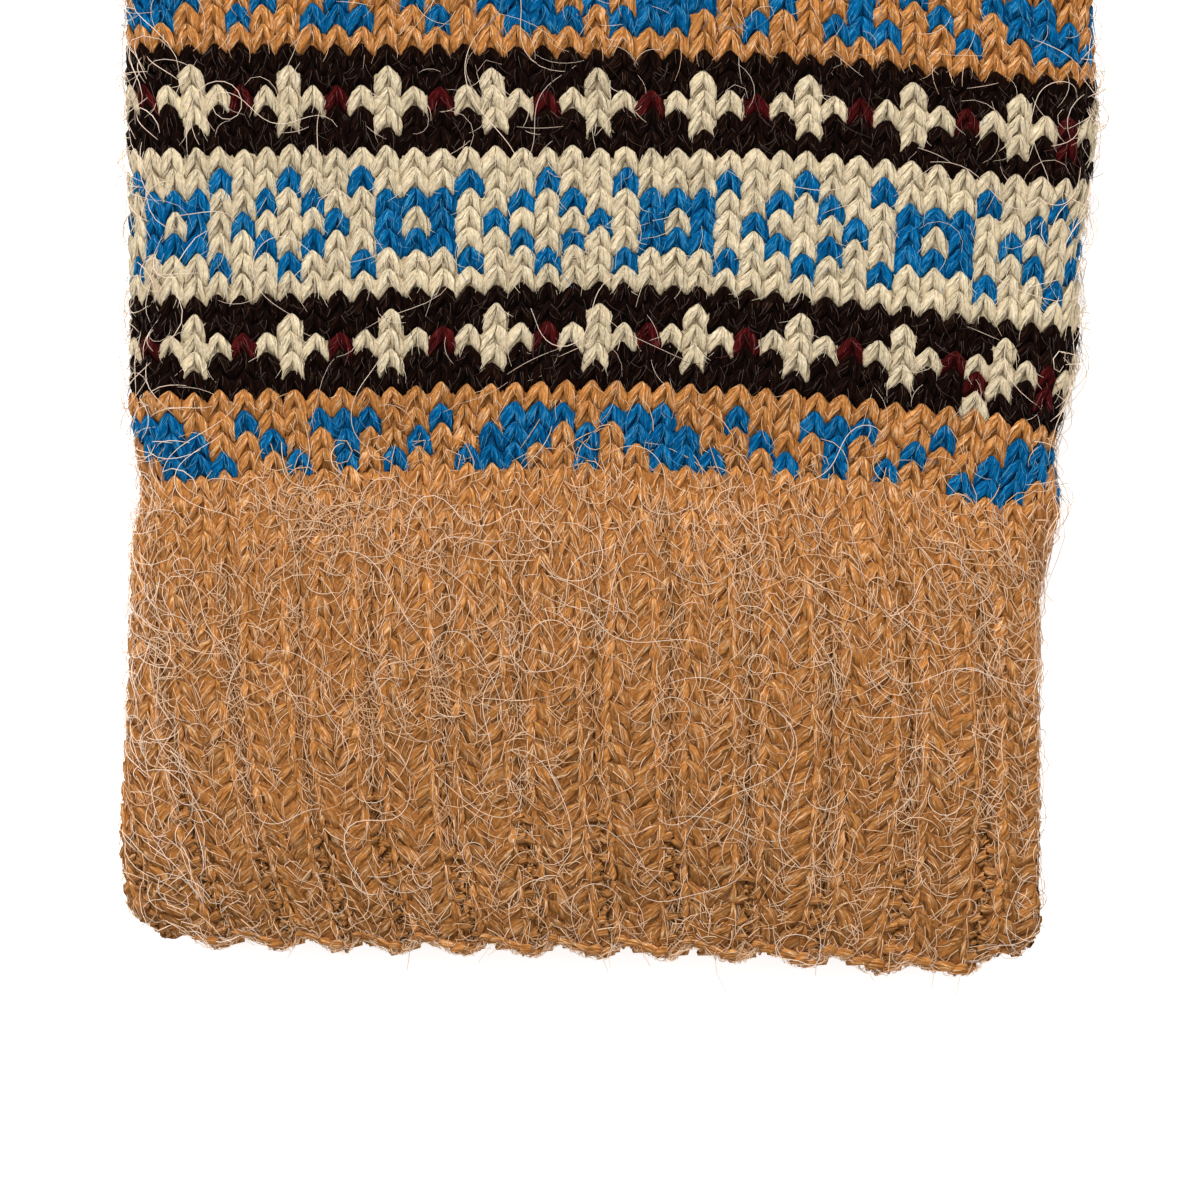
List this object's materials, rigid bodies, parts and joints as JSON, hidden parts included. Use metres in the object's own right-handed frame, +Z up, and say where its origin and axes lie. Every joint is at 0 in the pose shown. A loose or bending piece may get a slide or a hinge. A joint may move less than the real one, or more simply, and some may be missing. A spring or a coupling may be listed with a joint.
{
  "type": "fair isle knit glove",
  "caption": "Right-hand knitted wool glove lying flat, with a ribbed cuff, a patterned wrist band, and a hollow plain hand, thumb and fingers.",
  "frame": {"origin": "on the resting surface, under the middle of the glove's outline seen from above", "axes": "+Y from the hem to the fingertips, +Z up through the back of the hand, +X towards the little finger"},
  "size_m": [0.1416, 0.2486, 0.0131],
  "materials": {
    "camel_wool": "hairy plied wool knit",
    "cream_wool": "soft wool knit",
    "blue_wool": "soft wool knit",
    "dark_wool": "soft wool knit",
    "red_wool": "soft wool knit"
  },
  "bodies": {
    "root": {"ribbed_cuff": "camel_wool", "patterned_wrist": "cream_wool", "hand": "camel_wool", "thumb": "camel_wool", "index_finger": "camel_wool", "middle_finger": "camel_wool", "ring_finger": "camel_wool", "little_finger": "camel_wool"}
  },
  "joints": []
}
